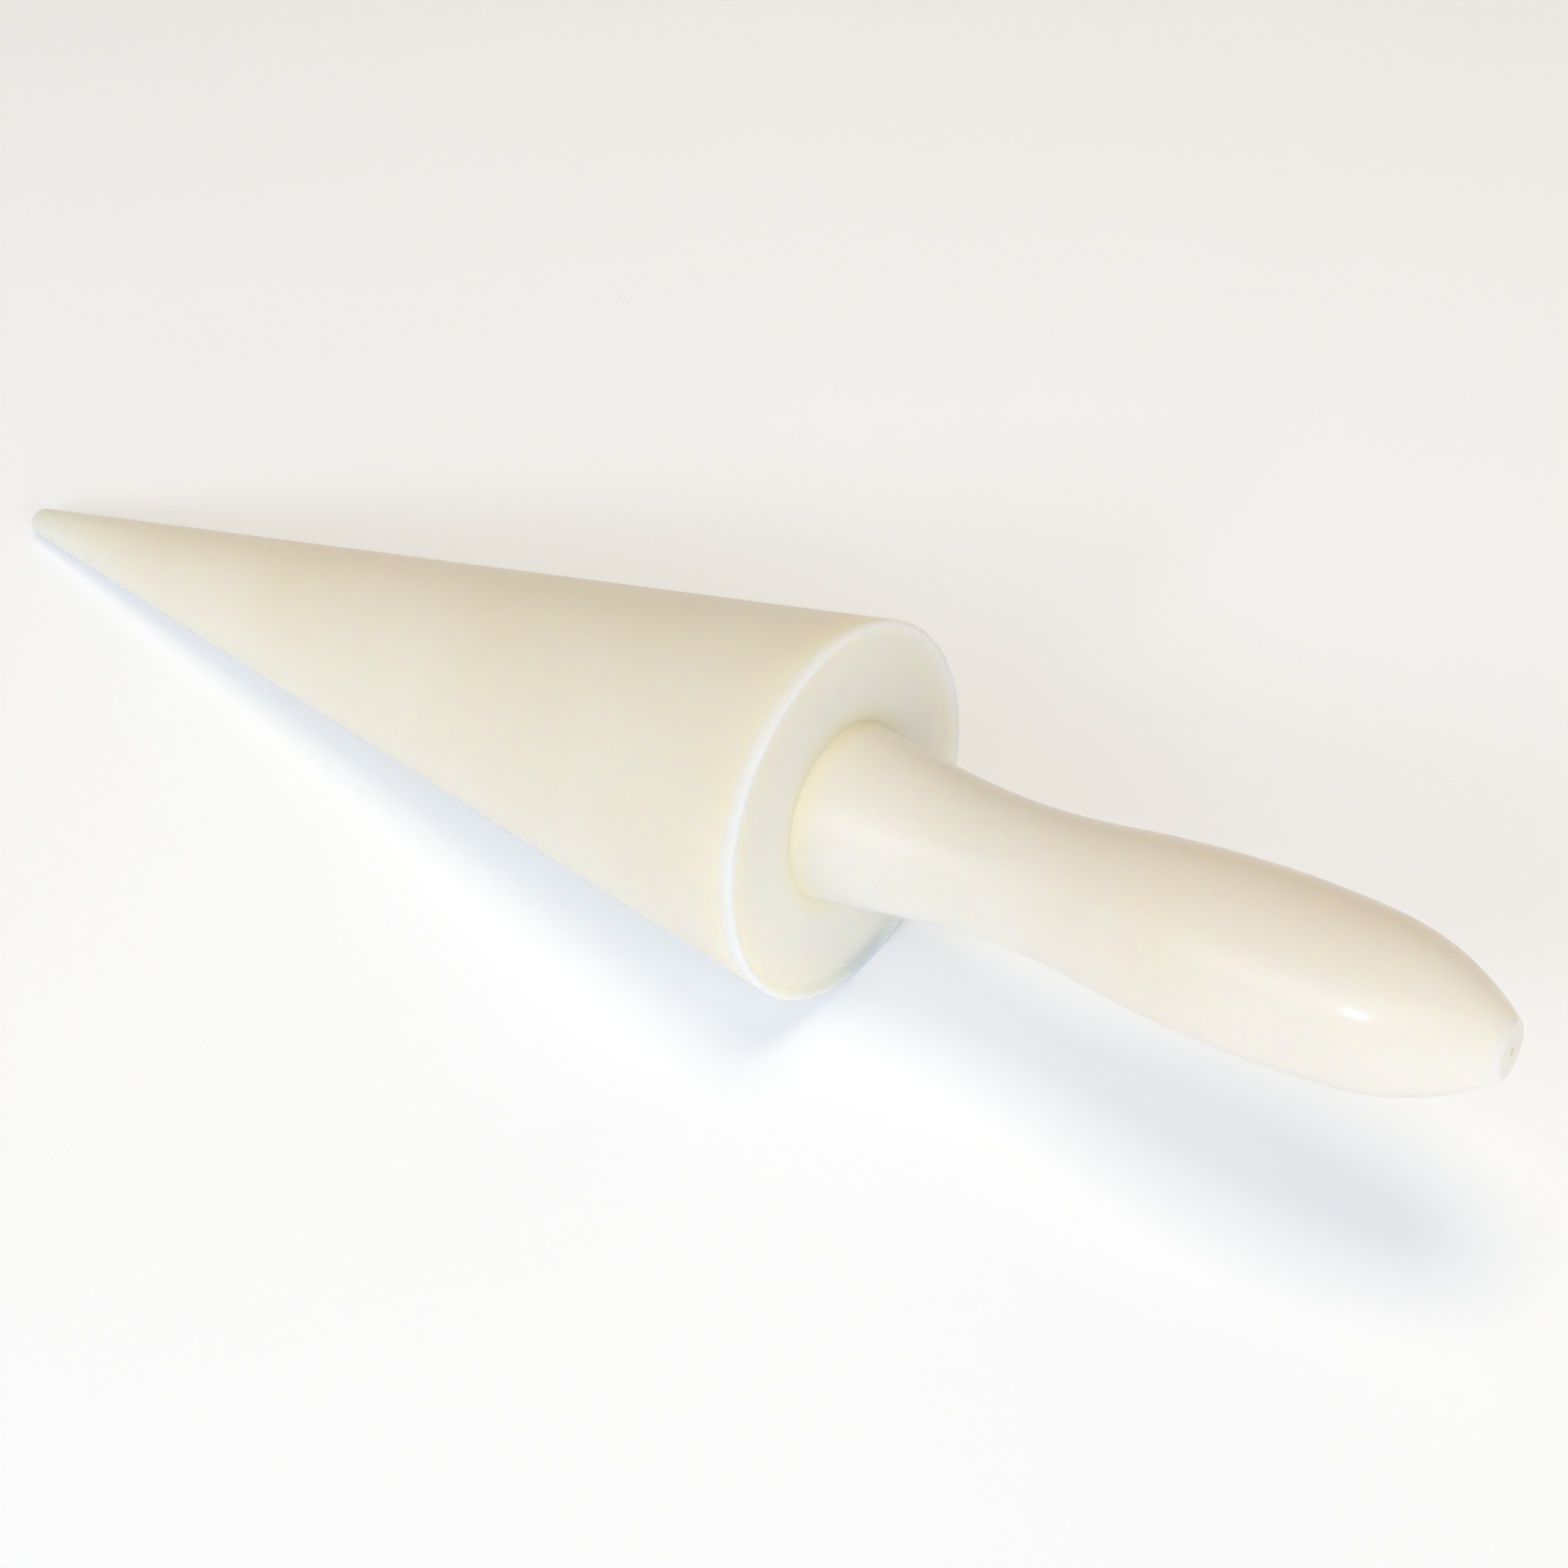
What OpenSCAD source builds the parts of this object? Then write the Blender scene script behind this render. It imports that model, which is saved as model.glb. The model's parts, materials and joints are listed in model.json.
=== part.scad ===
// Cone roller: a solid plastic cone with a turned handle, the mandrel that a warm wafer is rolled round.
// It lies on its side as it rests on a table: the table is z = 0, +X runs from the tip towards the handle,
// and the origin is under the middle of its length. The shared axis rises towards the handle by half the
// cone's angle. Each piece is turned about local Z. Local z = 0 is the joint: the floor of the shallow dish
// in the cone's base, with the handle standing on it.

/* [Cone] */
// Diameter of the cone's base, measured to the sharp corner that the rim rounds off
base_d = 50; // [40:1:60]
// Length of the cone from its tip to the top of its rim
cone_len = 157; // [120:1:200]
// Radius of the rounded tip
tip_r = 2.2; // [1:0.1:4]
// Radius of the rounding along the rim's edge
rim_round = 0.5; // [0.3:0.1:0.8]
// Depth of the shallow dish inside the rim
dish_depth = 0.9; // [0.5:0.1:1.2]
// Radius of the hollow between the dish's floor and the rim
dish_round = 1.2; // [0.8:0.1:2]

/* [Handle] */
// Length of the handle from the joint to its flat end
handle_len = 87.9; // [85:0.1:91]
// Radius of the neck at its thinnest
neck_r = 8.9; // [8.6:0.1:9.2]
// Distance from the joint to the thinnest place of the neck
neck_at = 25.9; // [25:0.1:28]
// Radius of the curve along the hollow of the neck
neck_curve = 88; // [80:1:95]
// Distance from the joint to where the straight flare at the root meets the neck's curve
flare_to = 12.9; // [11:0.1:17]
// Radius of the belly at its fattest
belly_r = 11.1; // [10.8:0.1:11.6]
// Distance from the joint to the fattest place of the belly
belly_at = 58.9; // [56:0.1:62]
// Radius of the curve from the belly towards the end
shoulder_curve = 122; // [105:1:130]
// Radius of the tighter curve that closes the handle
nose_curve = 30.5; // [28:0.5:34]
// Radius at which the closing curve would reach the end if it had no rounding
end_r = 3.3; // [3:0.1:4]
// Radius of the rounding round the end flat
end_round = 1; // [0.5:0.1:1.5]
// Radius of the lathe centre mark in the end flat
mark_r = 0.5; // [0.3:0.1:0.8]
// Depth of the lathe centre mark
mark_depth = 0.35; // [0.2:0.05:0.6]

/* [Stud] */
// Thread diameter of the stud that joins the handle to the cone
stud_d = 8; // [6:1:8]
// Length of the stud on each side of the joint
stud_half = 22; // [15:1:26]
// Chamfer at each end of the stud and at the mouth of each hole
stud_chamfer = 0.8; // [0.4:0.1:1]
// Depth of each hole past the stud's end, before the drill point
hole_spare = 2; // [1:0.5:4]
// Half of the angle of the drill point at the bottom of each hole
drill_half_angle = 59; // [50:1:70]

/* [Hidden] */
$fn = 256;
// Most that the straight steps of an outline may stand off its true curve
outline_sag = 0.006;
// How far a hole's cutter stands out of its mouth
overrun = 1;

// Half-angle of the cone, between its axis and a wall that is tangent to the round tip
base_r = base_d / 2;
tip_depth = cone_len - tip_r;
tip_to_corner = sqrt(base_r ^ 2 + tip_depth ^ 2);
half_angle = acos(tip_r / tip_to_corner) - atan2(tip_depth, base_r);
// Middle of the rounding along the rim's edge, as radius and height above the joint
rim_r = base_r - rim_round * (tan(half_angle) + 1 / cos(half_angle));
rim_at = dish_depth - rim_round;
// Middle of the hollow inside the rim, tangent to the dish's floor and to the rim's rounding, and the slope
// of the line between the two middles
rounds = dish_round + rim_round;
lip_angle = asin((dish_round - rim_at) / rounds);
hollow_r = rim_r - rounds * cos(lip_angle);

// Slope of the straight flare, tangent to the neck's curve, and its radius at the joint
flare_angle = asin((neck_at - flare_to) / neck_curve);
flare_r = neck_r + neck_curve * (1 - cos(flare_angle)) + flare_to * tan(flare_angle);
// Curve of the belly's near side, tangent to the neck's curve, and the slope where they meet
belly_rise = belly_r - neck_r;
belly_run = belly_at - neck_at;
belly_curve = (belly_run ^ 2 + belly_rise ^ 2) / (2 * belly_rise) - neck_curve;
belly_angle = asin(belly_run / (neck_curve + belly_curve));
// Middle of the closing curve, tangent inside the shoulder's curve and passing through the end's corner,
// and the slope where the two meet
shoulder_r = belly_r - shoulder_curve;
corner_run = handle_len - belly_at;
corner_rise = end_r - shoulder_r;
corner_far = sqrt(corner_run ^ 2 + corner_rise ^ 2);
middle_gap = shoulder_curve - nose_curve;
along = (middle_gap ^ 2 - nose_curve ^ 2 + corner_far ^ 2) / (2 * corner_far);
aside = sqrt(middle_gap ^ 2 - along ^ 2);
nose_at = belly_at + (along * corner_run - aside * corner_rise) / corner_far;
nose_r = shoulder_r + (along * corner_rise + aside * corner_run) / corner_far;
nose_angle = asin((nose_at - belly_at) / middle_gap);
// Middle of the rounding round the end flat, and the slope where it meets the closing curve
flat_at = handle_len - end_round;
flat_r = nose_r + sqrt((nose_curve - end_round) ^ 2 - (flat_at - nose_at) ^ 2);
flat_angle = asin((flat_at - nose_at) / (nose_curve - end_round));

// Place of the joint's centre: the cone's wall lies on z = 0 and the length is centred on x = 0
tip_at = dish_depth - tip_depth;
tip_reach = tip_r - tip_at * cos(half_angle);
end_reach = flat_at * cos(half_angle) + flat_r * sin(half_angle) + end_round;
joint_x = (tip_reach - end_reach) / 2;
joint_z = base_r * cos(half_angle) - dish_depth * sin(half_angle);

// Point of a circle, and the points along one of its arcs after the first
function on_circle(middle, radius, angle) = middle + radius * [cos(angle), sin(angle)];
function arc(middle, radius, from, to) =
    let (steps = ceil(abs(to - from) / (2 * acos(1 - outline_sag / radius))))
    [for (i = [1:steps]) on_circle(middle, radius, from + (to - from) * i / steps)];

// Turns a piece from its own upright axis to where it lies
module lie_down() {
    translate([joint_x, 0, joint_z]) rotate([0, 90 - half_angle, 0]) children();
}

// Blind hole going up from height 0, with a drill point at its bottom and a chamfered mouth
module blind_hole() {
    hole_r = stud_d / 2;
    mouth_r = hole_r + stud_chamfer;
    depth = stud_half + hole_spare;
    point = hole_r / tan(drill_half_angle);
    rotate_extrude() polygon([
        [0, -overrun], [mouth_r, -overrun], [mouth_r, 0], [hole_r, stud_chamfer],
        [hole_r, depth], [0, depth + point]
    ]);
}

// The cone upright on its tip: round tip, straight wall, rounded rim and dished base, drilled for the stud
module cone() {
    rim = [rim_r, rim_at];
    color("ivory") lie_down() difference() {
        rotate_extrude() polygon(concat(
            [[0, dish_depth - cone_len]],
            arc([0, tip_at], tip_r, -90, -half_angle),
            [on_circle(rim, rim_round, -half_angle)],
            arc(rim, rim_round, -half_angle, 180 - lip_angle),
            arc([hollow_r, dish_round], dish_round, -lip_angle, -90),
            [[0, 0]]
        ));
        mirror([0, 0, 1]) blind_hole();
    }
}

// The handle upright on its root: flare, neck, belly, closing curve and end flat with its mark
module handle() {
    neck = [neck_r + neck_curve, neck_at];
    color("cornsilk") lie_down() difference() {
        rotate_extrude() polygon(concat(
            [[0, 0], [flare_r, 0], on_circle(neck, neck_curve, 180 + flare_angle)],
            arc(neck, neck_curve, 180 + flare_angle, 180 - belly_angle),
            arc([belly_r - belly_curve, belly_at], belly_curve, -belly_angle, 0),
            arc([shoulder_r, belly_at], shoulder_curve, 0, nose_angle),
            arc([nose_r, nose_at], nose_curve, nose_angle, flat_angle),
            arc([flat_r, flat_at], end_round, flat_angle, 90),
            [[mark_r, handle_len], [0, handle_len - mark_depth]]
        ));
        blind_hole();
    }
}

// The stud, half of it on each side of the joint
module stud() {
    shank_r = stud_d / 2;
    tip_edge = shank_r - stud_chamfer;
    color("silver") lie_down() rotate_extrude() polygon([
        [0, -stud_half], [tip_edge, -stud_half], [shank_r, stud_chamfer - stud_half],
        [shank_r, stud_half - stud_chamfer], [tip_edge, stud_half], [0, stud_half]
    ]);
}

cone();
handle();
stud();
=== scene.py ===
"""Looks for the cone roller: two turned pieces of natural nylon and the threaded stud between them."""

import json
import math

import bpy
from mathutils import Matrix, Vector


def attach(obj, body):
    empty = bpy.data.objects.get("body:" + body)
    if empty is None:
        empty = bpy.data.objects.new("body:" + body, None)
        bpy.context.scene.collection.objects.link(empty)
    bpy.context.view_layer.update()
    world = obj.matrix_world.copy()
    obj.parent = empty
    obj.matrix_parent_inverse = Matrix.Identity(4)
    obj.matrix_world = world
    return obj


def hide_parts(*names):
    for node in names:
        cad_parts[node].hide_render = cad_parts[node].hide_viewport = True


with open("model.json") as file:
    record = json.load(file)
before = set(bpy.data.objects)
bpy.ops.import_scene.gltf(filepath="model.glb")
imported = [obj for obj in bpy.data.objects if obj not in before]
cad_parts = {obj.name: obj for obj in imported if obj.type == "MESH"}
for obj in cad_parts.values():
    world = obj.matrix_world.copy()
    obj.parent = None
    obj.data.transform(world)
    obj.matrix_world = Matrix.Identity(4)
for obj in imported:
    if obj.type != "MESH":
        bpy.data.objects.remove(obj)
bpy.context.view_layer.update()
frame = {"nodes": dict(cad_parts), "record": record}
MM = 0.001

# ---------------------------------------------------------------- detail of the meshes
FACES_AROUND = 192              # faces round a turned piece
TURN_STEP = math.radians(3)     # most that an outline turns between two rings
RING_STEP = 2.5 * MM            # most that two rings stand apart
CORNER = math.radians(25)       # an outline that turns more than this has a sharp corner there
STRAIGHT = math.radians(0.3)    # an outline that turns less than this is straight there
SAME_RING = 0.02 * MM           # corners of the frame this close along the axis are one ring
ON_AXIS = 0.0001 * MM           # a ring smaller than this is one point
MUCH_LONGER = 3                 # a step this many times as long as its neighbour is a straight one
HOLE_RADII = 1.5                # the corners of a stud hole are within this many stud radii of the axis
HOLE_LENGTHS = 0.75             # and within this many stud lengths of the joint
THREAD_PITCH = 1.25 * MM
THREAD_DEPTH = 0.68 * MM
THREAD_SLACK = 0.03 * MM        # between the thread's crest and its hole
THREAD_ROWS = 8                 # rings to a turn of the thread
THREAD_FACES = 48               # faces round it
FLANK_SLOPE = 1.15              # over 1 the groove narrows and the crest widens
THREAD_FROM = 0.85              # share of the stud's radius where the groove starts

# ---------------------------------------------------------------- camera
CAMERA_AZIMUTH = math.radians(35.77)
CAMERA_ELEVATION = math.radians(43.09)
CAMERA_DISTANCE = 0.3342
CAMERA_LENS = 58.5              # millimetres, on a sensor 36 mm wide
AIM = Vector((0.01976, 0.0059, 0.01727))

# ---------------------------------------------------------------- light and floor
COOL = (0.745, 0.851, 1.0)      # softboxes round the camera's side
WARM = (1.0, 0.87, 0.66)        # softboxes above and behind
ROOM = (1.0, 0.922, 0.803)      # the dim room round it all
ROOM_STRENGTH = 0.361
LIGHT_DISTANCE = 1.0            # from the tool to each softbox
FLOOR_REACH = 3.0               # from the middle of the floor to its sides
FLOOR_GLOW = 0.156              # the floor is a light table
FLOOR_COLOURS = (0.85, 0.877, 0.93, 1), (0.86, 0.887, 0.94, 1)

# ---------------------------------------------------------------- nylon
SATIN = 0.42                    # roughness of turned nylon
SATIN_SPREAD = 0.02             # how far it strays from that
COAT_ROUGHNESS = 0.12           # of the polish over it
NYLON_IOR = 1.53
SCATTER = (0.0130, 0.0085, 0.0040)      # how far red, green and blue light go at a depth of 1, in metres
BUMP_HEIGHT = 0.01 * MM         # of the waviness left by hand polishing
NOISE_SPAN = (0.3, 0.7)         # where most values of a noise lie
# noise scales, in cycles to the metre
CLOUD_SCALE = 45.0
WAVE_SCALE = 160.0
FINE_SCALE = 420.0
# tints, as shares of a piece's own colour
WARM_CLOUD = (0.99, 0.98, 0.955)
PALE_CLOUD = (1.005, 1.01, 1.02)
# painted light: the dish floor's paler tint stands in for the light falling on it from the side
DISH_FLOOR_LIGHT = (1.06, 1.07, 1.095)
# places painted a colour of their own: painted light at the thin ends, the flare and the edges, painted
# shade in the crevice, and a darker centre mark
# painted light: the whiter colour towards a piece's thin end stands in for light shining through it
THIN_GLOW_COLOUR = (0.765, 0.75, 0.718, 1)
THIN_GLOW_SHARE = 0.6
# painted highlight: the whiter colour on the handle's flare stands in for a soft sheen
FLARE_SHEEN_COLOUR = (0.79, 0.77, 0.732, 1)
FLARE_START = (2 * MM, 8 * MM)          # out from the crevice, where it comes in
FLARE_END = (40 * MM, 22 * MM)          # and where it is gone and still full
# painted shade: the warmer colour in the crevice at the handle's root stands in for its shade
CREVICE_SHADE_COLOUR = (0.86, 0.785, 0.53, 1)
CREVICE_SHADE_SHARE = 0.55
CREVICE_SHADE_REACH = (3.5 * MM, 0.3 * MM)    # the crevice's colour starts this far out and is full this near
# painted light: the cooler white along the edges stands in for light shining through them
EDGE_GLOW_COLOUR = (0.735, 0.727, 0.72, 1)
MARK_COLOUR = (0.65, 0.60, 0.49, 1)
MARK_REACH = (0.7 * MM, 0.3 * MM)       # the same for the centre mark, out from the axis
DISH_HEIGHT = (-1.0 * MM, -0.5 * MM)    # the faced floor's colour starts and is full at these heights
SCATTER_COMES = (1 * MM, 7 * MM)        # out from the crevice, from no scattered light to all of it
# the scattered light's depth grows out from the crevice in three steps that add up
DEPTH_NEAR = (0.0, 10 * MM)
DEPTH_MIDDLE = (7 * MM, 12 * MM)
DEPTH_FAR = (22 * MM, 60 * MM)

# ---------------------------------------------------------------- steel
STEEL_DARK = (0.42, 0.42, 0.41, 1)
STEEL_PALE = (0.62, 0.61, 0.58, 1)
STEEL_GRAIN = 900.0             # noise scale, in cycles to the metre
STEEL_SPAN = (-0.6, 1.9)        # over these wide limits the grain gives a roughness of about 0.3 to 0.5


# ---------------------------------------------------------------- the turning axis, from the frame
def mount(name):
    """A mount's place and direction."""
    found = next(m for m in frame["record"]["mounts"] if m["name"] == name)
    return Vector(found["pos_m"]), Vector(found["axis"]).normalized()


HANDLE_END, AXIS = mount("handle_end")


def axis_points(node):
    """(distance along the axis from the handle's end, radius) of a CAD node's rings of corners, in order."""
    found = []
    for vertex in frame["nodes"][node].data.vertices:
        away = vertex.co - HANDLE_END
        along = away.dot(AXIS)
        found.append(Vector((along, (away - AXIS * along).length)))
    rings = []
    for point in sorted(found, key=tuple):
        beside = [ring for ring in rings if point.x - ring.x < SAME_RING]
        if all((point - ring).length > SAME_RING for ring in beside):
            rings.append(point)
    return rings


STUD_POINTS = axis_points("stud")
STUD_R = max(point.y for point in STUD_POINTS)
STUD_LENGTH = STUD_POINTS[-1].x - STUD_POINTS[0].x
# The joint is where the handle stands on the cone, at the middle of the stud. Heights are measured from it.
JOINT_ALONG = (STUD_POINTS[0].x + STUD_POINTS[-1].x) / 2
JOINT = HANDLE_END + AXIS * JOINT_ALONG
LEAN = AXIS.to_track_quat("Z", "Y")
HANDLE_LENGTH = -JOINT_ALONG
# radius of the crevice where the handle's root stands on the cone
ROOT_R = max(point.y for point in axis_points("handle") if point.x < JOINT_ALONG + 2 * MM)


def outline_of(node):
    """A turned node's outline as (height above the joint, radius), from its low end on the axis to its top.

    One of these ends is the bottom of the stud hole. From the hole's mouth the corners follow each other
    over the joint face and the outside, the nearest one next.
    """
    points = [Vector((point.x - JOINT_ALONG, point.y)) for point in axis_points(node)]
    hole = [point for point in points
            if point.y < HOLE_RADII * STUD_R and abs(point.x) < HOLE_LENGTHS * STUD_LENGTH]
    left = [point for point in points if point not in hole]
    path = sorted(hole, key=lambda point: -abs(point.x))
    while left:
        path.append(min(left, key=lambda point: (point - path[-1]).length))
        left.remove(path[-1])
    bends = [here for before, here, after in zip(path, path[1:], path[2:])
             if turn(here - before, after - here) > STRAIGHT]
    outline = [Vector((path[0].x, 0))] + bends + [Vector((path[-1].x, 0))]
    return outline if outline[0].x < outline[-1].x else outline[::-1]


# ---------------------------------------------------------------- smooth outlines
def turn(before, after):
    """How far a direction turns from one step to the next."""
    return before.angle(after, 0.0)


def slopes(points, i):
    """The outline's directions where it reaches point i and leaves it: the same on a smooth curve."""
    before = points[i] - points[i - 1] if i > 0 else points[1] - points[0]
    after = points[i + 1] - points[i] if i < len(points) - 1 else before
    if i > 0 and i < len(points) - 1 and turn(before, after) > CORNER:
        return before.normalized(), after.normalized()
    # a short step beside a long straight one leaves along the straight
    if before.length > MUCH_LONGER * after.length:
        way = before.normalized()
    elif after.length > MUCH_LONGER * before.length:
        way = after.normalized()
    else:
        # two like steps share the tangent of the circle through their three points
        way = (before.normalized() * after.length + after.normalized() * before.length).normalized()
    return way, way


def smooth(points):
    """The same outline with its curves filled in, and rings no further apart than the limits above."""
    ways = [slopes(points, i) for i in range(len(points))]
    result = [points[0]]
    for i in range(len(points) - 1):
        start, end = points[i], points[i + 1]
        chord = (end - start).length
        # a cubic curve that leaves one point and arrives at the next along the outline's directions there
        leaves, arrives = ways[i][1] * chord, ways[i + 1][0] * chord
        steps = max(math.ceil(chord / RING_STEP), math.ceil(turn(leaves, arrives) / TURN_STEP), 1)
        for step in range(1, steps + 1):
            t = step / steps
            result.append(
                start * (2 * t**3 - 3 * t**2 + 1) + leaves * (t**3 - 2 * t**2 + t)
                + end * (3 * t**2 - 2 * t**3) + arrives * (t**3 - t**2)
            )
    return result


# ---------------------------------------------------------------- meshes
def new_piece(name, vertices, faces, node, material):
    """A mesh that rides on the tool and stands for a CAD node.

    Its vertices come upright, with the joint at zero.
    """
    mesh = bpy.data.meshes.new(name)
    mesh.from_pydata([tuple(JOINT + LEAN @ vertex) for vertex in vertices], [], faces)
    mesh.validate()
    mesh.polygons.foreach_set("use_smooth", [True] * len(mesh.polygons))
    mesh.set_sharp_from_angle(angle=CORNER)
    mesh.materials.append(material)
    piece = bpy.data.objects.new(name, mesh)
    bpy.context.scene.collection.objects.link(piece)
    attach(piece, "root")
    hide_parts(node)
    return piece


def lathe(outline, around, radius_at=None):
    """Vertices and faces of an outline of (height, radius) turned about Z. It starts and ends on Z."""
    vertices, faces, rings = [], [], []
    for height, radius in outline:
        if radius < ON_AXIS:
            vertices.append(Vector((0, 0, height)))
            rings.append([len(vertices) - 1])
            continue
        first = len(vertices)
        for i in range(around):
            angle = 2 * math.pi * i / around
            reach = radius_at(angle, height, radius) if radius_at else radius
            vertices.append(Vector((reach * math.cos(angle), reach * math.sin(angle), height)))
        rings.append(list(range(first, first + around)))
    for low, high in zip(rings, rings[1:]):
        for i in range(around):
            j = (i + 1) % around
            if len(low) == 1:
                faces.append((low[0], high[j], high[i]))
            elif len(high) == 1:
                faces.append((low[i], low[j], high[0]))
            else:
                faces.append((low[i], low[j], high[j], high[i]))
    return vertices, faces


def turned_piece(name, node, material):
    """A nylon piece: its outside, joint face and stud hole as one closed mesh."""
    vertices, faces = lathe(smooth(outline_of(node)), FACES_AROUND)
    return new_piece(name, vertices, faces, node, material)


def thread_reach(angle, height, radius):
    """The radius of the stud's thread at one place: a helical groove with straight flanks."""
    phase = (height / THREAD_PITCH - angle / (2 * math.pi)) % 1
    groove = max(0, 1 - abs(2 * phase - 1) * FLANK_SLOPE)
    return min(radius, STUD_R - THREAD_SLACK) - THREAD_DEPTH * groove * (radius > STUD_R * THREAD_FROM)


def threaded_stud(material):
    """The double-ended stud, with its whole thread cut."""
    half = STUD_LENGTH / 2
    rows = math.ceil(STUD_LENGTH / THREAD_PITCH * THREAD_ROWS)
    # the radius of the flat at each end, inside its chamfer
    start_r = min(point.y for point in STUD_POINTS if point.y > STUD_R / 2)
    outline = [Vector((-half, 0))]
    for row in range(rows + 1):
        height = -half + STUD_LENGTH * row / rows
        outline.append(Vector((height, min(STUD_R, start_r + half - abs(height)))))
    outline.append(Vector((half, 0)))
    vertices, faces = lathe(outline, THREAD_FACES, thread_reach)
    return new_piece("stud_thread", vertices, faces, "stud", material)


# ---------------------------------------------------------------- materials
def new_material(name):
    """An empty node material: its nodes, its links and its shader."""
    material = bpy.data.materials.new(name)
    material.use_nodes = True
    tree = material.node_tree
    return material, tree, tree.nodes["Principled BSDF"]


def add(tree, kind, **inputs):
    """A node with some of its inputs set or linked.

    A key is an input's name, with _ for each space, or the letter i and the input's number.
    """
    node = tree.nodes.new(kind)
    for key, value in inputs.items():
        numbered = key[0] == "i" and key[1:].isdigit()
        socket = node.inputs[int(key[1:]) if numbered else key.replace("_", " ")]
        if isinstance(value, bpy.types.NodeSocket):
            tree.links.new(value, socket)
        else:
            socket.default_value = value
    return node


def maths(tree, operation, *values):
    """The result of a Math node."""
    node = add(tree, "ShaderNodeMath", **{f"i{i}": value for i, value in enumerate(values)})
    node.operation = operation
    return node.outputs[0]


def ramp(tree, value, start, full):
    """0 at the start and before it, 1 where it is full and past that, and a smooth step in between.

    The start may be the larger of the two.
    """
    node = add(tree, "ShaderNodeMapRange", Value=value)
    node.interpolation_type = "SMOOTHSTEP"
    node.inputs["From Min"].default_value = start
    node.inputs["From Max"].default_value = full
    return node.outputs["Result"]


def between(tree, value, source, target):
    """A value taken from one range to another, and held at its ends."""
    node = add(tree, "ShaderNodeMapRange", Value=value)
    for name, number in zip(("From Min", "From Max", "To Min", "To Max"), source + target):
        node.inputs[name].default_value = number
    return node.outputs["Result"]


def length_of(tree, across, up):
    """The length of a flat vector."""
    squares = [maths(tree, "MULTIPLY", part, part) for part in (across, up)]
    return maths(tree, "SQRT", maths(tree, "ADD", *squares))


def mix_colour(tree, share, first, second):
    """A colour between two."""
    node = tree.nodes.new("ShaderNodeMix")
    node.data_type = "RGBA"
    for socket, value in ((node.inputs[0], share), (node.inputs[6], first), (node.inputs[7], second)):
        if isinstance(value, bpy.types.NodeSocket):
            tree.links.new(value, socket)
        else:
            socket.default_value = value
    return node.outputs[2]


def upright(tree):
    """The place on a piece as it stands upright, with the joint at zero and Z up the axis."""
    where = tree.nodes.new("ShaderNodeTexCoord").outputs["Object"]
    node = add(tree, "ShaderNodeMapping", Vector=where, Location=JOINT, Rotation=LEAN.to_euler())
    node.vector_type = "TEXTURE"
    return node.outputs["Vector"]


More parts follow.
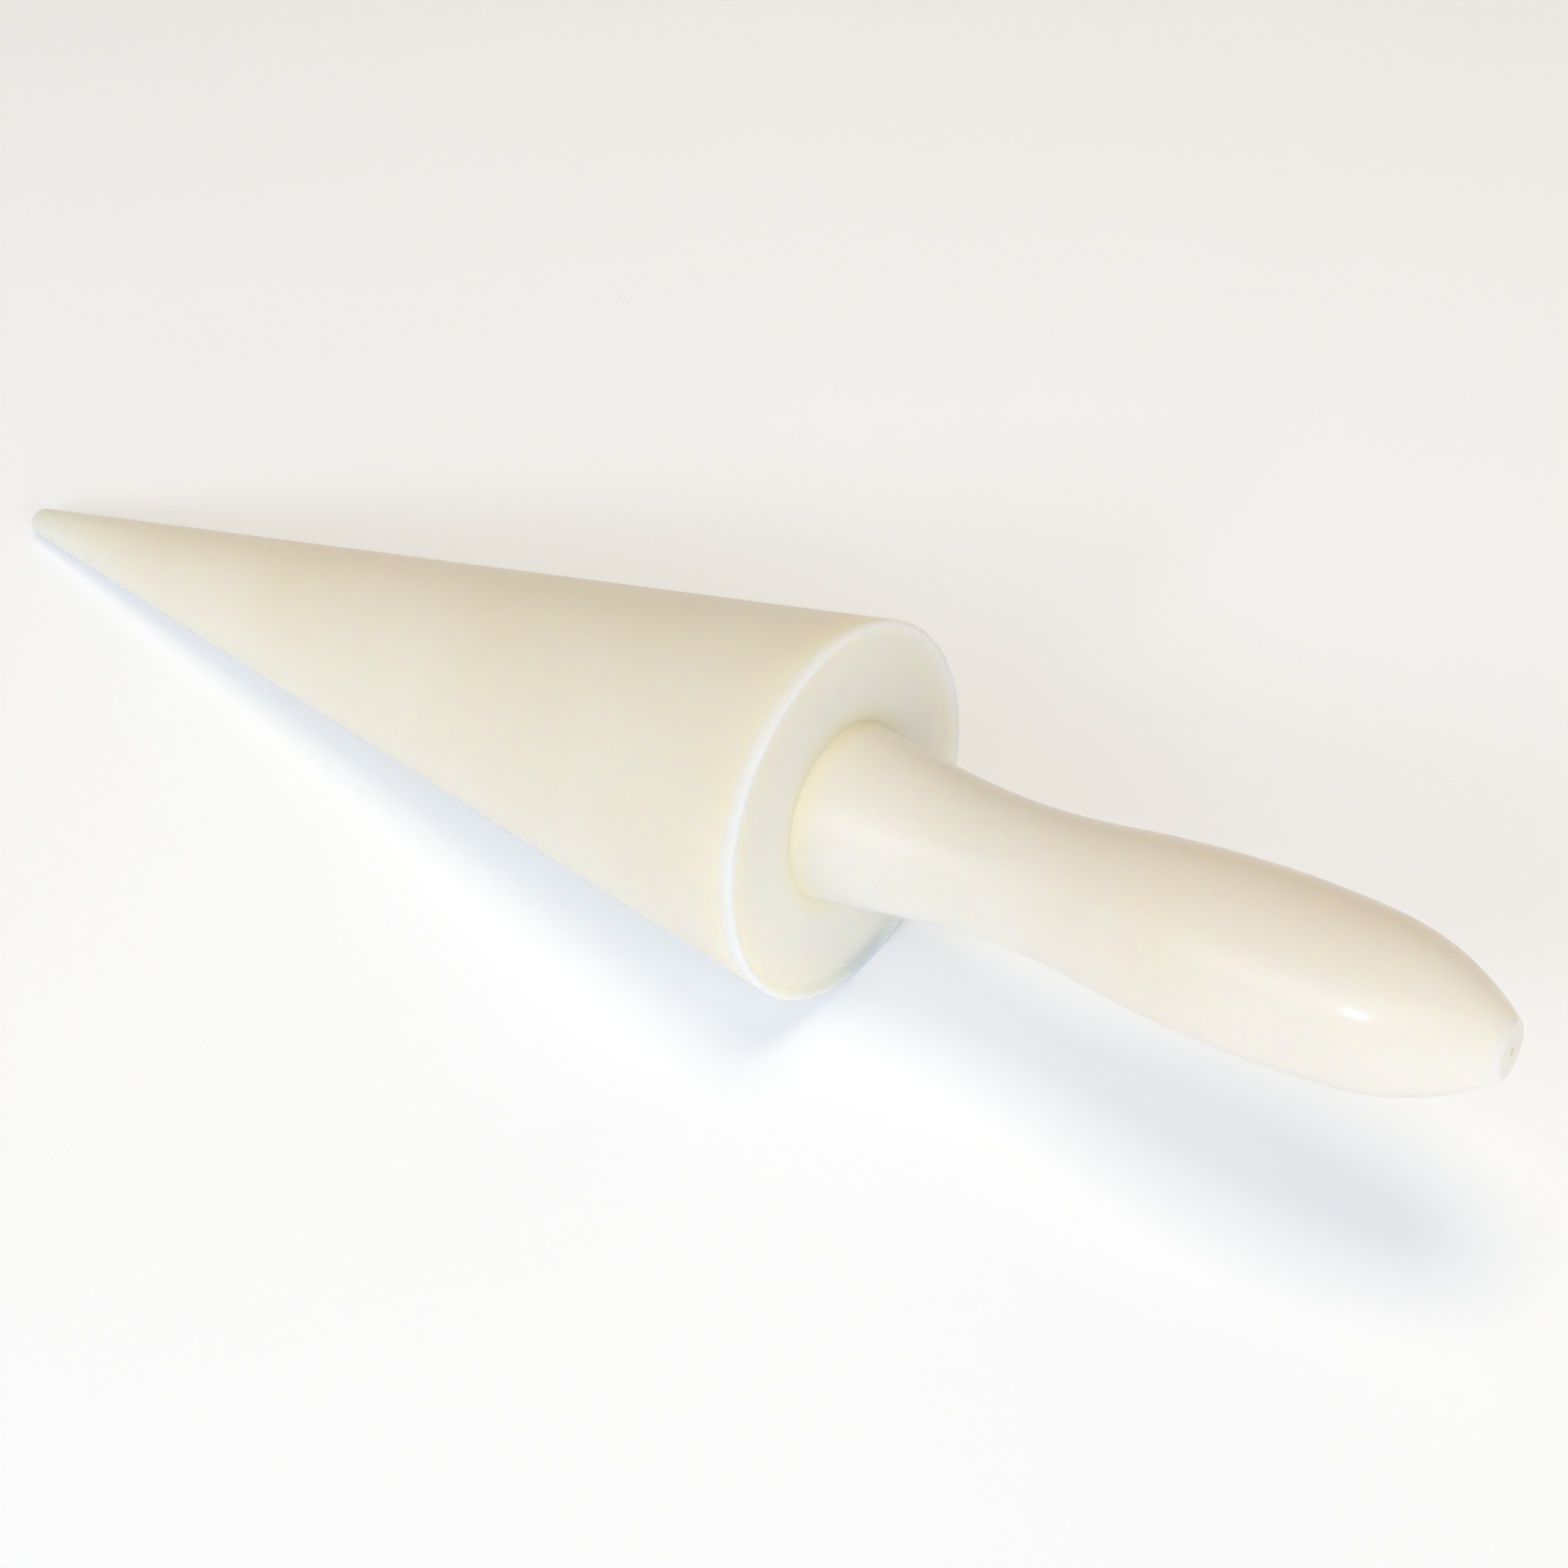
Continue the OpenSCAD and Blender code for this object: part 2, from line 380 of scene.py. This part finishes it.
def nylon(name, look):
    """Natural nylon, turned to a satin finish and more or less polished over it, in upright coordinates."""
    material, tree, shader = new_material(name)
    place = upright(tree)
    x, y, height = add(tree, "ShaderNodeSeparateXYZ", Vector=place).outputs
    radius = length_of(tree, x, y)
    crevice = length_of(tree, maths(tree, "SUBTRACT", radius, ROOT_R), height)

    def tinted(shares):
        return (*[part * share for part, share in zip(look["ivory"], shares)], 1)

    # soft clouds in the plastic, about two centimetres across
    clouds = add(tree, "ShaderNodeTexNoise", Vector=place, Scale=CLOUD_SCALE, Detail=2.0, Roughness=0.5)
    cloudy = ramp(tree, clouds.outputs["Fac"], *NOISE_SPAN)
    colour = mix_colour(tree, cloudy, tinted(PALE_CLOUD), tinted(WARM_CLOUD))
    # painted light: towards the thin end of a piece the colour is painted whiter, for the light that shines
    # through the thin plastic there
    thin = between(tree, maths(tree, "ABSOLUTE", height), look["thin_from_to"], (0.0, THIN_GLOW_SHARE))
    colour = mix_colour(tree, thin, colour, THIN_GLOW_COLOUR)
    # painted highlight: the flare at the handle's root is painted whiter, for the soft sheen of light on it
    if "flare_sheen_share" in look:
        flare = maths(tree, "MULTIPLY", ramp(tree, crevice, *FLARE_START), ramp(tree, crevice, *FLARE_END))
        colour = mix_colour(tree, maths(tree, "MULTIPLY", flare, look["flare_sheen_share"]), colour, FLARE_SHEEN_COLOUR)
    # painted light: the dish's floor is painted a little paler, for the light from the side that falls on it
    at_joint = ramp(tree, height, *DISH_HEIGHT)
    round_root = ramp(tree, radius, ROOT_R, ROOT_R + MM)
    colour = mix_colour(tree, maths(tree, "MULTIPLY", at_joint, round_root), colour, tinted(DISH_FLOOR_LIGHT))
    # painted shade: the crevice at the handle's root is painted a warmer colour, for the warm shade and
    # scattered light there
    crevice_shade = maths(tree, "MULTIPLY", ramp(tree, crevice, *CREVICE_SHADE_REACH), CREVICE_SHADE_SHARE)
    colour = mix_colour(tree, crevice_shade, colour, CREVICE_SHADE_COLOUR)
    # painted light: along the edges the colour is painted a cooler white, for the light that shines through
    # the thin plastic there
    edge = ramp(tree, height, *look["edge_height"])
    if "edge_radius" in look:
        edge = maths(tree, "MULTIPLY", edge, ramp(tree, radius, *look["edge_radius"]))
    colour = mix_colour(tree, maths(tree, "MULTIPLY", edge, look["edge_glow_share"]), colour, EDGE_GLOW_COLOUR)
    # and darker in the centre mark of the end flat
    at_end = ramp(tree, height, HANDLE_LENGTH - 1.0 * MM, HANDLE_LENGTH - 0.6 * MM)
    mark = maths(tree, "MULTIPLY", at_end, ramp(tree, radius, *MARK_REACH))
    colour = mix_colour(tree, mark, colour, MARK_COLOUR)
    tree.links.new(colour, shader.inputs["Base Color"])

    # a faint waviness and dulling left by hand polishing
    waves = add(tree, "ShaderNodeTexNoise", Vector=place, Scale=WAVE_SCALE, Detail=2.0, Roughness=0.5)
    bump = add(tree, "ShaderNodeBump", Height=waves.outputs["Fac"], Strength=1.0, Distance=BUMP_HEIGHT)
    tree.links.new(bump.outputs["Normal"], shader.inputs["Normal"])
    fine = add(tree, "ShaderNodeTexNoise", Vector=place, Scale=FINE_SCALE, Detail=4.0, Roughness=0.6)
    satin = between(tree, fine.outputs["Fac"], NOISE_SPAN, (SATIN - SATIN_SPREAD, SATIN + SATIN_SPREAD))
    dulled = maths(tree, "ADD", satin, maths(tree, "MULTIPLY", edge, look["edge_dulling"]))
    tree.links.new(dulled, shader.inputs["Roughness"])
    shader.inputs["IOR"].default_value = NYLON_IOR
    shader.inputs["Specular IOR Level"].default_value = 0.5
    shader.inputs["Coat Weight"].default_value = look["polish"]
    shader.inputs["Coat Roughness"].default_value = COAT_ROUGHNESS

    # light goes some millimetres deep, but less beside the joint, where it can't cross from piece to piece
    weight = between(tree, crevice, SCATTER_COMES, (0.0, 1.0))
    tree.links.new(weight, shader.inputs["Subsurface Weight"])
    shader.inputs["Subsurface Radius"].default_value = SCATTER
    near = between(tree, crevice, DEPTH_NEAR, look["depth_near"])
    middle = between(tree, crevice, DEPTH_MIDDLE, look["depth_middle"])
    far = between(tree, crevice, DEPTH_FAR, look["depth_far"])
    depth = maths(tree, "ADD", maths(tree, "ADD", near, far), middle)
    tree.links.new(depth, shader.inputs["Subsurface Scale"])
    return material


def steel():
    """Plain zinc-grey thread steel."""
    material, tree, shader = new_material("stud_steel")
    place = tree.nodes.new("ShaderNodeTexCoord").outputs["Object"]
    grain = add(tree, "ShaderNodeTexNoise", Vector=place, Scale=STEEL_GRAIN, Detail=4.0, Roughness=0.6)
    colour = mix_colour(tree, grain.outputs["Fac"], STEEL_DARK, STEEL_PALE)
    tree.links.new(colour, shader.inputs["Base Color"])
    tree.links.new(ramp(tree, grain.outputs["Fac"], *STEEL_SPAN), shader.inputs["Roughness"])
    shader.inputs["Metallic"].default_value = 1.0
    return material


def paper_floor():
    """The plain pale light table that the tool lies on."""
    material, tree, shader = new_material("floor_paper")
    place = tree.nodes.new("ShaderNodeTexCoord").outputs["Object"]
    grain = add(tree, "ShaderNodeTexNoise", Vector=place, Scale=30.0, Detail=2.0)
    colour = mix_colour(tree, grain.outputs["Fac"], *FLOOR_COLOURS)
    tree.links.new(colour, shader.inputs["Base Color"])
    shader.inputs["Roughness"].default_value = 0.9
    shader.inputs["Specular IOR Level"].default_value = 0.1
    shader.inputs["Emission Color"].default_value = (1.0, 1.0, 1.0, 1)
    shader.inputs["Emission Strength"].default_value = FLOOR_GLOW
    return material


# ---------------------------------------------------------------- stage
def build_floor():
    """A wide flat floor."""
    far = FLOOR_REACH
    mesh = bpy.data.meshes.new("floor")
    mesh.from_pydata([(-far, -far, 0), (far, -far, 0), (far, far, 0), (-far, far, 0)], [], [(0, 1, 2, 3)])
    mesh.materials.append(paper_floor())
    floor = bpy.data.objects.new("floor", mesh)
    bpy.context.scene.collection.objects.link(floor)


def toward(azimuth, elevation):
    """The direction out from the tool to an azimuth round from -Y and an elevation, both in radians."""
    flat = math.cos(elevation)
    return Vector((math.sin(azimuth) * flat, -math.cos(azimuth) * flat, math.sin(elevation)))


def softbox(name, azimuth, elevation, size, power, colour, mirrored=False):
    """A square area light that faces the tool, placed by its direction from the tool in degrees.

    Its reflection is seen only if it is mirrored, so that the other lights draw no streaks in the polish.
    """
    light = bpy.data.lights.new(name, "AREA")
    light.shape = "SQUARE"
    light.size = size
    light.energy = power
    light.color = colour
    lamp = bpy.data.objects.new(name, light)
    out = toward(math.radians(azimuth), math.radians(elevation))
    lamp.location = AIM + out * LIGHT_DISTANCE
    lamp.rotation_euler = out.to_track_quat("Z", "Y").to_euler()
    lamp.visible_glossy = mirrored
    bpy.context.scene.collection.objects.link(lamp)


def build_lights():
    """Plain soft studio light: cool softboxes in front, warm ones above and behind, and a warm dim room."""
    softbox("side", 60, 15, 0.60, 3.11, COOL)
    softbox("top", 0, 88, 0.45, 2.90, WARM)
    softbox("back", 180, 45, 0.60, 0.85, WARM)
    # these are the ones whose reflections are seen
    softbox("edge", 85, 15, 0.25, 0.28, COOL, mirrored=True)
    softbox("middle", 30, 42, 0.60, 1.04, COOL, mirrored=True)
    softbox("front", 0, 30, 0.45, 0.81, COOL, mirrored=True)
    softbox("glint", 4, 25.4, 0.17, 1.50, COOL, mirrored=True)
    softbox("sheen", -18, 22, 0.30, 0.40, COOL, mirrored=True)
    softbox("left", -30, 30, 0.45, 0.57, COOL, mirrored=True)
    world = bpy.data.worlds.new("room")
    world.use_nodes = True
    background = world.node_tree.nodes["Background"]
    background.inputs["Color"].default_value = (*ROOM, 1)
    background.inputs["Strength"].default_value = ROOM_STRENGTH
    bpy.context.scene.world = world


def build_camera():
    """The camera at the photograph's angle: no roll, looking down at the tool as it lies."""
    camera = bpy.data.cameras.new("camera")
    camera.lens = CAMERA_LENS
    camera.sensor_width = 36
    camera.clip_start = 0.01
    looker = bpy.data.objects.new("camera", camera)
    out = toward(CAMERA_AZIMUTH, CAMERA_ELEVATION)
    looker.location = AIM + out * CAMERA_DISTANCE
    looker.rotation_euler = out.to_track_quat("Z", "Y").to_euler()
    bpy.context.scene.collection.objects.link(looker)
    bpy.context.scene.camera = looker


build_camera()
build_lights()
build_floor()

# Each nylon piece's own look. A pair of places says where a change starts and where it is full. A pair of
# depths says what a step adds to the light's depth at its crevice end and at its far end.
CONE_LOOK = {
    "ivory": (0.811, 0.776, 0.682),
    "thin_from_to": (100 * MM, 150 * MM),
    "edge_height": (-1.4 * MM, -0.8 * MM),
    "edge_radius": (23.9 * MM, 24.6 * MM),
    "edge_glow_share": 0.75,
    "edge_dulling": 0.3,
    "polish": 0.0,
    "depth_near": (0.10, 0.45),
    "depth_middle": (0.0, 0.35),
    "depth_far": (0.0, 0.20),
}
HANDLE_LOOK = {
    "ivory": (0.788, 0.752, 0.672),
    "thin_from_to": (50 * MM, 85 * MM),
    "edge_height": (HANDLE_LENGTH - 1.6 * MM, HANDLE_LENGTH - 0.4 * MM),
    "edge_glow_share": 0.35,
    "edge_dulling": 0.0,
    "polish": 0.3,
    "depth_near": (0.10, 0.45),
    "depth_middle": (0.0, 0.0),
    "depth_far": (0.0, 0.55),
    "flare_sheen_share": 0.4,
}
turned_piece("cone_turned", "cone", nylon("cone_nylon", CONE_LOOK))
turned_piece("handle_turned", "handle", nylon("handle_nylon", HANDLE_LOOK))
threaded_stud(steel())

bpy.context.scene.view_settings.view_transform = "Standard"
bpy.context.scene.view_settings.look = "None"
